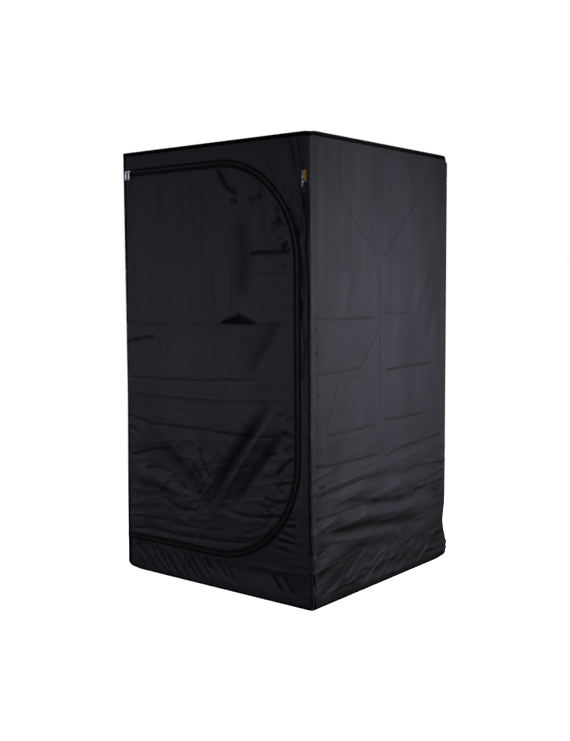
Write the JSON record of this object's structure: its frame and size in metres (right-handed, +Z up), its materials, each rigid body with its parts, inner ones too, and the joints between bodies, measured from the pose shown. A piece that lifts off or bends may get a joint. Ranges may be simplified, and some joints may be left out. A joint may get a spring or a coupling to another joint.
{
  "type": "printer enclosure tent",
  "caption": "Tall free-standing black fabric enclosure on a plug-together tube frame, with a D-shaped zip door, hanging bars, a floor tray and drawcord duct ports.",
  "frame": {"origin": "on the floor under the middle of the tent", "axes": "+Z up; -Y is the door face and +Y the back wall with the ports; the door's seam hinge is at -X"},
  "size_m": [0.901, 0.9988, 1.6],
  "materials": {
    "shell_fabric": "satin",
    "reflective_lining": "satin",
    "binding_tape": "matte",
    "zipper_tape": "matte",
    "nickel": "polished",
    "label_weave": "matte",
    "frame_tube": "satin",
    "frame_plastic": "matte",
    "lock_plastic": "satin",
    "spring_steel": "satin",
    "drawcord": "matte"
  },
  "bodies": {
    "tent": {"back_panel": "shell_fabric", "connector_bottom_front_left": "frame_plastic", "connector_bottom_front_right": "frame_plastic", "connector_bottom_rear_left": "frame_plastic", "connector_bottom_rear_right": "frame_plastic", "connector_top_front_left": "frame_plastic", "connector_top_front_right": "frame_plastic", "connector_top_rear_left": "frame_plastic", "connector_top_rear_right": "frame_plastic", "cord_lock_lower_barrel": "lock_plastic", "cord_lock_lower_spring": "spring_steel", "cord_lock_upper_barrel": "lock_plastic", "cord_lock_upper_spring": "spring_steel", "corner_binding_front_left": "binding_tape", "corner_binding_front_right": "binding_tape", "corner_binding_rear_left": "binding_tape", "corner_binding_rear_right": "binding_tape", "door_tieback_straps": "binding_tape", "floor_binding": "binding_tape", "floor_panel": "shell_fabric", "floor_tray": "reflective_lining", "front_panel": "shell_fabric", "label_tag": "label_weave", "left_panel": "shell_fabric", "port_lower_drawcord": "drawcord", "port_lower_sleeve": "shell_fabric", "port_upper_drawcord": "drawcord", "port_upper_sleeve": "shell_fabric", "post_lower_front_left": "frame_tube", "post_lower_front_right": "frame_tube", "post_lower_rear_left": "frame_tube", "post_lower_rear_right": "frame_tube", "post_upper_front_left": "frame_tube", "post_upper_front_right": "frame_tube", "post_upper_rear_left": "frame_tube", "post_upper_rear_right": "frame_tube", "rail_bottom_front": "frame_tube", "rail_bottom_left": "frame_tube", "rail_bottom_rear": "frame_tube", "rail_bottom_right": "frame_tube", "rail_top_front": "frame_tube", "rail_top_left": "frame_tube", "rail_top_rear": "frame_tube", "rail_top_right": "frame_tube", "right_panel": "shell_fabric", "roof_binding": "binding_tape", "roof_panel": "shell_fabric", "zipper_tape_frame": "zipper_tape"},
    "door": {"door_flap": "shell_fabric", "zipper_tape_door": "zipper_tape"},
    "slider_outer": {"zipper_slider_outer": "nickel"},
    "slider_inner": {"zipper_slider_inner": "nickel"},
    "pull_outer": {"zipper_pull_outer": "nickel"},
    "pull_inner": {"zipper_pull_inner": "nickel"},
    "hanging_bar_front": {"hanging_bar_front": "frame_tube", "hanging_bar_front_hooks": "frame_plastic"},
    "hanging_bar_rear": {"hanging_bar_rear": "frame_tube", "hanging_bar_rear_hooks": "frame_plastic"},
    "lock_button_upper": {"cord_lock_upper_button": "lock_plastic"},
    "lock_button_lower": {"cord_lock_lower_button": "lock_plastic"}
  },
  "joints": [
    {"name": "door_swing", "type": "hinge", "parent": "tent", "child": "door", "pos_m": [-0.4463, -0.4515, 0.827], "axis": [0, 0, -1], "range_deg": [0, 155]},
    {"name": "slider_inner_run", "type": "slide", "parent": "door", "child": "slider_inner", "axis": [1, 0, 0], "range_m": [0, 0.44]},
    {"name": "slider_outer_run", "type": "slide", "parent": "door", "child": "slider_outer", "axis": [1, 0, 0], "range_m": [0, 0.44]},
    {"name": "pull_inner_swing", "type": "hinge", "parent": "slider_inner", "child": "pull_inner", "pos_m": [-0.407, -0.456, 1.526], "axis": [-1, 0, 0], "range_deg": [0, 160]},
    {"name": "pull_outer_swing", "type": "hinge", "parent": "slider_outer", "child": "pull_outer", "pos_m": [-0.423, -0.456, 1.526], "axis": [-1, 0, 0], "range_deg": [0, 160]},
    {"name": "hanging_bar_front_slide", "type": "slide", "parent": "tent", "child": "hanging_bar_front", "axis": [0, 1, 0], "range_m": [-0.15, 0.17]},
    {"name": "hanging_bar_rear_slide", "type": "slide", "parent": "tent", "child": "hanging_bar_rear", "axis": [0, 1, 0], "range_m": [-0.17, 0.15]},
    {"name": "cord_lock_upper_press", "type": "slide", "parent": "tent", "child": "lock_button_upper", "axis": [0, -1, 0], "range_m": [0, 0.0022], "stiffness_N_per_m": 400, "springref_m": -0.003, "deforming": ["cord_lock_upper_spring"]},
    {"name": "cord_lock_lower_press", "type": "slide", "parent": "tent", "child": "lock_button_lower", "axis": [0, -1, 0], "range_m": [0, 0.0022], "stiffness_N_per_m": 400, "springref_m": -0.003, "deforming": ["cord_lock_lower_spring"]}
  ],
  "couplings": [
    {"joint": "slider_outer_run", "follows": "slider_inner_run", "ratio": 1}
  ]
}
